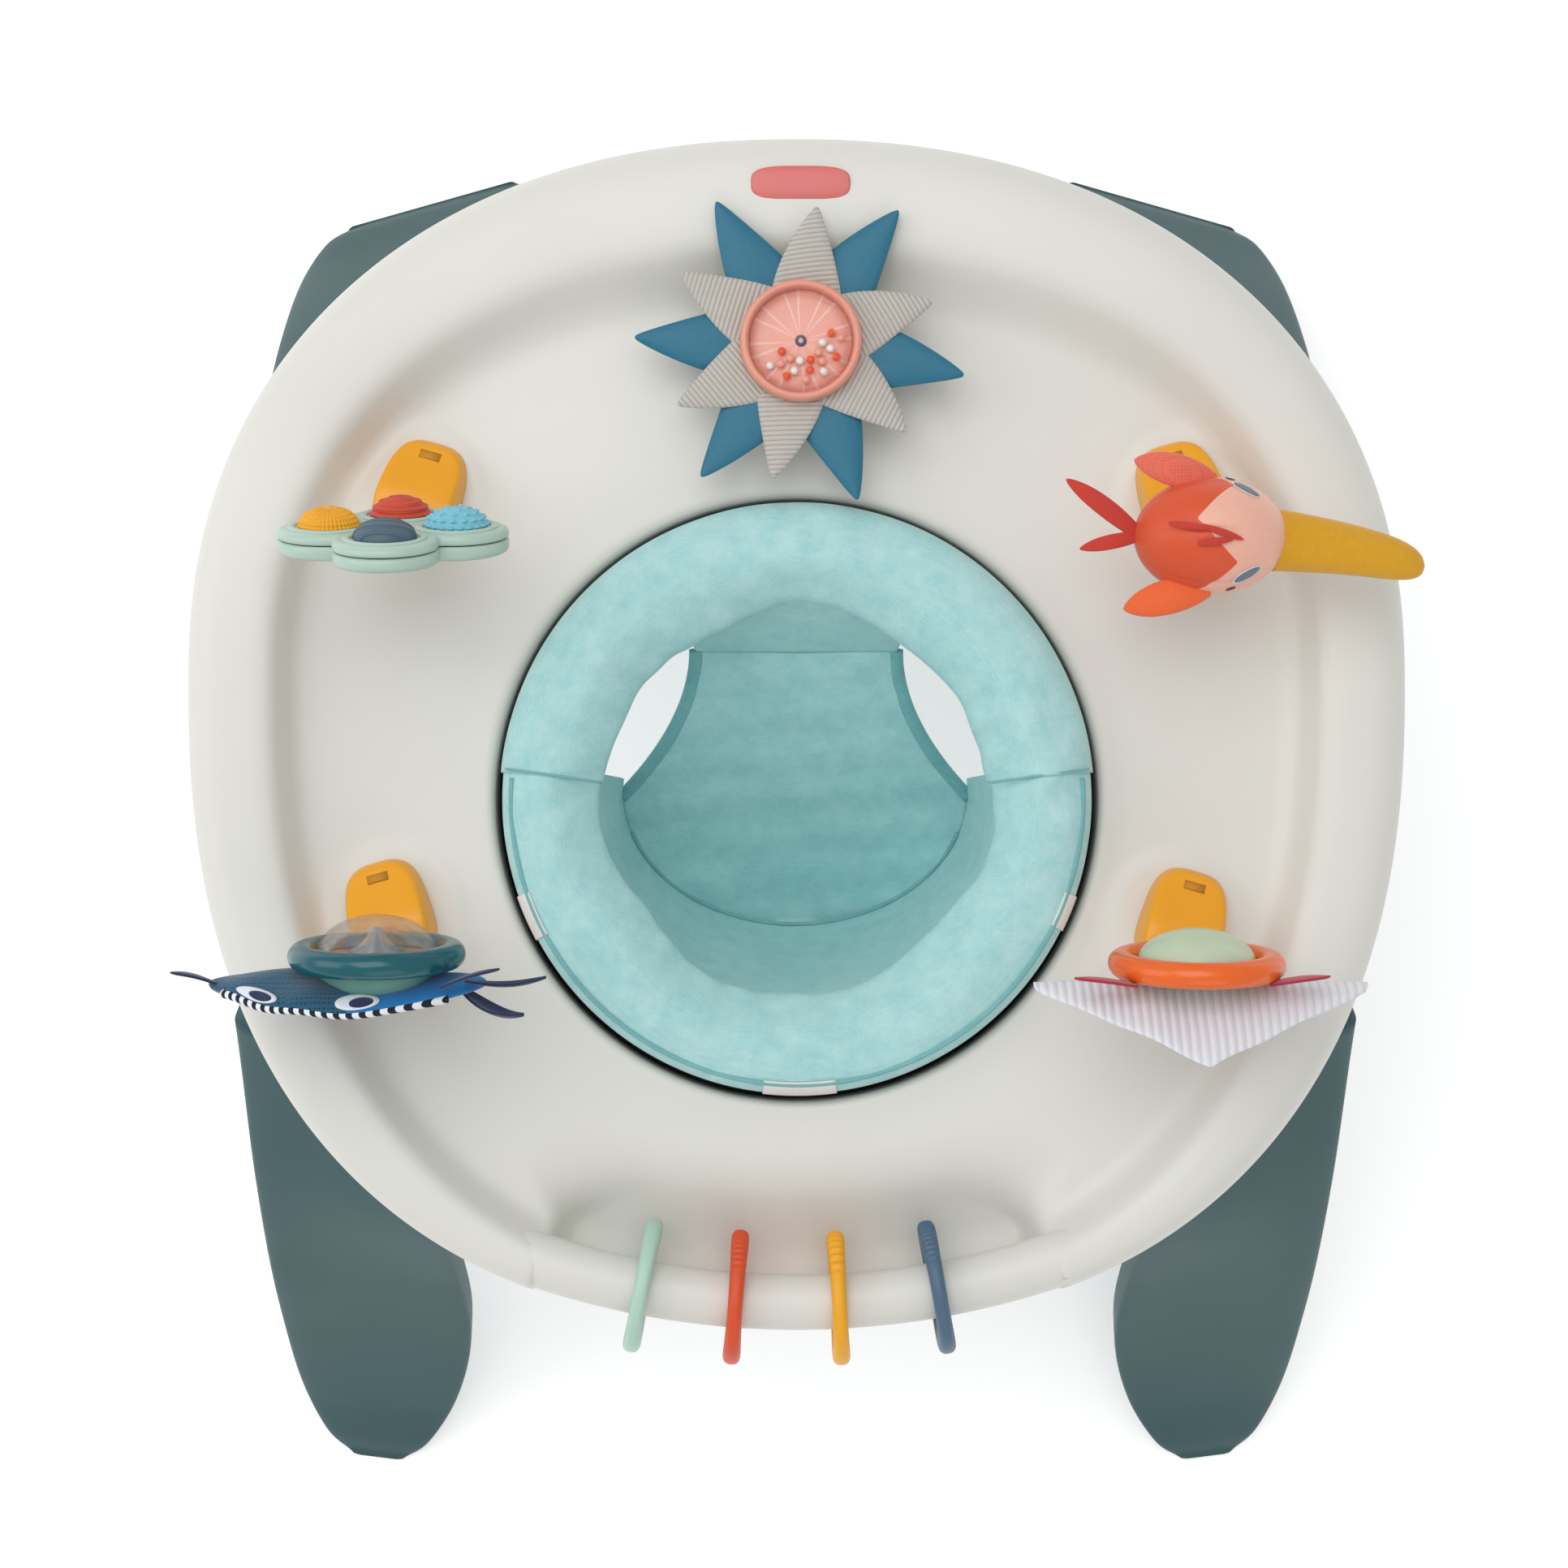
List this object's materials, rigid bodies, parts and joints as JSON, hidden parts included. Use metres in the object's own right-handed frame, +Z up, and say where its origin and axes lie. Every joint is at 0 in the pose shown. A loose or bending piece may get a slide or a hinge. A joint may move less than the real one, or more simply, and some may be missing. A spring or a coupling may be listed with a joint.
{
  "type": "baby activity jumper",
  "caption": "Baby activity jumper: dished play tray on splayed legs, sprung turning fabric seat, swivelling toys on stems, spinning sun and teething rings on a grab bar.",
  "frame": {"origin": "on the floor, on the seat's turning axis, midway between the feet", "axes": "+Z up, +Y the way the seated baby faces, towards the sun toy, +X to the right of a viewer who looks down with +Y up the page"},
  "size_m": [0.7402, 0.9515, 0.5731],
  "materials": {
    "tray_white": "satin moulded warm white",
    "underside_grey": "fine-textured light grey",
    "leg_teal": "fine-textured deep teal",
    "button_white": "satin white",
    "foot_rubber": "matte dark rubber",
    "steel": "zinc plated",
    "spring_steel": "oiled spring wire",
    "seat_fabric": "aqua-mint heathered weave with fine white dots",
    "pod_yellow": "satin amber yellow",
    "stem_salmon": "satin salmon pink",
    "popper_green": "satin sage green",
    "yellow_soft": "soft touch yellow",
    "blue_soft": "soft touch light blue",
    "red_soft": "soft touch terracotta red",
    "slate_soft": "soft touch slate blue",
    "mint_soft": "soft touch mint",
    "orange_soft": "soft touch orange red",
    "teal_gloss": "gloss teal",
    "orange_gloss": "gloss orange",
    "clear": "clear polycarbonate",
    "mint_clear": "translucent mint",
    "spinner_grey": "satin grey",
    "dial_pink": "pink printed dial",
    "bead_orange": "gloss mixed beads",
    "cloth_blue": "bright blue and teal plush",
    "cloth_white": "white ribbed cloth",
    "cloth_orange": "orange-red knit",
    "felt_yellow": "yellow felt",
    "felt_coral": "coral felt",
    "cord_grey": "grey fine corduroy",
    "satin_teal": "teal satin cloth"
  },
  "bodies": {
    "frame": {"tray_top": "tray_white", "tray_underside": "underside_grey", "handle_bar": "tray_white", "leg_sleeves": "underside_grey", "tray_screws": "steel", "carrier_posts": "steel", "bounce_springs": "spring_steel", "toy_pods": "pod_yellow", "sun_base": "pod_yellow"},
    "carrier": {"carrier_ring": "underside_grey", "race_ring": "underside_grey"},
    "seat": {"seat_hoop": "tray_white", "seat_front_cover": "seat_fabric", "seat_back_cover": "seat_fabric", "seat_sling": "seat_fabric"},
    "leg_front_left": {"leg_front_left": "leg_teal", "foot_pad_front_left": "foot_rubber"},
    "button_front_left": {"height_button_front_left": "button_white"},
    "leg_front_right": {"leg_front_right": "leg_teal", "foot_pad_front_right": "foot_rubber"},
    "button_front_right": {"height_button_front_right": "button_white"},
    "leg_rear_left": {"leg_rear_left": "leg_teal", "foot_pad_rear_left": "foot_rubber"},
    "button_rear_left": {"height_button_rear_left": "button_white"},
    "leg_rear_right": {"leg_rear_right": "leg_teal", "foot_pad_rear_right": "foot_rubber"},
    "button_rear_right": {"height_button_rear_right": "button_white"},
    "popper": {"stem_popper": "stem_salmon", "popper_front": "popper_green", "popper_back": "popper_green"},
    "fish": {"stem_fish": "stem_salmon", "fish_ring": "teal_gloss", "fish_dome": "clear", "fish_back": "mint_clear", "fish_body": "cloth_blue"},
    "fish_spinner": {"fish_spinner": "spinner_grey"},
    "ray": {"stem_ray": "stem_salmon", "ray_ring": "orange_gloss", "ray_dome": "mint_clear", "ray_body": "cloth_white"},
    "bird": {"stem_bird": "stem_salmon", "bird_body": "cloth_orange", "bird_beak": "felt_yellow", "bird_wings": "felt_coral"},
    "sun": {"sun_bezel": "dial_pink", "sun_dial": "dial_pink", "sun_dome": "clear", "sun_beads": "bead_orange", "sun_rays_grey": "cord_grey", "sun_rays_teal": "satin_teal"},
    "dome_yellow": {"popper_dome_yellow": "yellow_soft"},
    "dome_blue": {"popper_dome_blue": "blue_soft"},
    "dome_red": {"popper_dome_red": "red_soft"},
    "dome_slate": {"popper_dome_slate": "slate_soft"},
    "ring_mint": {"ring_mint": "mint_soft"},
    "ring_orange": {"ring_orange": "orange_soft"},
    "ring_yellow": {"ring_yellow": "yellow_soft"},
    "ring_blue": {"ring_blue": "blue_soft"}
  },
  "joints": [
    {"name": "seat_bounce", "type": "slide", "parent": "frame", "child": "carrier", "axis": [0, 0, -1], "range_m": [0, 0.035], "stiffness_N_per_m": 2600, "springref_m": -0.02, "deforming": ["bounce_springs"]},
    {"name": "seat_turn", "type": "hinge", "parent": "carrier", "child": "seat", "pos_m": [0, 0, 0.343], "axis": [0, 0, 1], "continuous": true},
    {"name": "height_front_left", "type": "slide", "parent": "frame", "child": "leg_front_left", "axis": [0, -0.678, -0.735], "range_m": [0, 0.04]},
    {"name": "press_front_left", "type": "slide", "parent": "leg_front_left", "child": "button_front_left", "axis": [0.2349, 0.6939, -0.6807], "range_m": [0, 0.003], "stiffness_N_per_m": 900, "springref_m": -0.002},
    {"name": "height_front_right", "type": "slide", "parent": "frame", "child": "leg_front_right", "axis": [0, -0.678, -0.735], "range_m": [0, 0.04]},
    {"name": "press_front_right", "type": "slide", "parent": "leg_front_right", "child": "button_front_right", "axis": [-0.2349, 0.6939, -0.6807], "range_m": [0, 0.003], "stiffness_N_per_m": 900, "springref_m": -0.002},
    {"name": "height_rear_left", "type": "slide", "parent": "frame", "child": "leg_rear_left", "axis": [0, 0.678, -0.735], "range_m": [0, 0.04]},
    {"name": "press_rear_left", "type": "slide", "parent": "leg_rear_left", "child": "button_rear_left", "axis": [0.2163, -0.7167, -0.663], "range_m": [0, 0.003], "stiffness_N_per_m": 900, "springref_m": -0.002},
    {"name": "height_rear_right", "type": "slide", "parent": "frame", "child": "leg_rear_right", "axis": [0, 0.678, -0.735], "range_m": [0, 0.04]},
    {"name": "press_rear_right", "type": "slide", "parent": "leg_rear_right", "child": "button_rear_right", "axis": [-0.2163, -0.7167, -0.663], "range_m": [0, 0.003], "stiffness_N_per_m": 900, "springref_m": -0.002},
    {"name": "popper_swivel", "type": "hinge", "parent": "frame", "child": "popper", "pos_m": [-0.2326, 0.147, 0.508], "axis": [0, -0.3024, 0.9532], "range_deg": [-90, 90]},
    {"name": "fish_swivel", "type": "hinge", "parent": "frame", "child": "fish", "pos_m": [-0.2426, -0.0927, 0.494], "axis": [0, -0.134, 0.991], "range_deg": [-30, 30]},
    {"name": "ray_swivel", "type": "hinge", "parent": "frame", "child": "ray", "pos_m": [0.2295, -0.098, 0.494], "axis": [0, -0.134, 0.991], "range_deg": [-30, 30]},
    {"name": "bird_swivel", "type": "hinge", "parent": "frame", "child": "bird", "pos_m": [0.238, 0.149, 0.498], "axis": [0, -0.309, 0.9511], "range_deg": [-60, 60]},
    {"name": "press_yellow", "type": "slide", "parent": "popper", "child": "dome_yellow", "axis": [0, -0.9532, -0.3024], "range_m": [0, 0.004], "stiffness_N_per_m": 600, "springref_m": -0.002},
    {"name": "press_blue", "type": "slide", "parent": "popper", "child": "dome_blue", "axis": [0, -0.9532, -0.3024], "range_m": [0, 0.004], "stiffness_N_per_m": 600, "springref_m": -0.002},
    {"name": "press_red", "type": "slide", "parent": "popper", "child": "dome_red", "axis": [0, -0.9532, -0.3024], "range_m": [0, 0.004], "stiffness_N_per_m": 600, "springref_m": -0.002},
    {"name": "press_slate", "type": "slide", "parent": "popper", "child": "dome_slate", "axis": [0, -0.9532, -0.3024], "range_m": [0, 0.004], "stiffness_N_per_m": 600, "springref_m": -0.002},
    {"name": "spinner_turn", "type": "hinge", "parent": "fish", "child": "fish_spinner", "pos_m": [-0.2426, -0.0927, 0.494], "axis": [0, 0.991, 0.134], "continuous": true},
    {"name": "sun_turn", "type": "hinge", "parent": "frame", "child": "sun", "pos_m": [0.002, 0.272, 0.441], "axis": [0, 0, 1], "continuous": true},
    {"name": "ring_mint_swing", "type": "hinge", "parent": "frame", "child": "ring_mint", "pos_m": [-0.09303, -0.29409, 0.4135], "axis": [0.9818, -0.1899, 0], "range_deg": [-100, 20]},
    {"name": "ring_orange_swing", "type": "hinge", "parent": "frame", "child": "ring_orange", "pos_m": [-0.03696, -0.3016, 0.4135], "axis": [0.9972, -0.0754, 0], "range_deg": [-100, 20]},
    {"name": "ring_yellow_swing", "type": "hinge", "parent": "frame", "child": "ring_yellow", "pos_m": [0.02499, -0.30236, 0.4135], "axis": [0.9987, 0.051, 0], "range_deg": [-100, 20]},
    {"name": "ring_blue_swing", "type": "hinge", "parent": "frame", "child": "ring_blue", "pos_m": [0.08438, -0.29568, 0.4135], "axis": [0.9851, 0.1722, 0], "range_deg": [-100, 20]}
  ],
  "couplings": [
    {"joint": "height_front_right", "follows": "height_front_left", "ratio": 1},
    {"joint": "height_rear_left", "follows": "height_front_left", "ratio": 1},
    {"joint": "height_rear_right", "follows": "height_front_left", "ratio": 1}
  ]
}
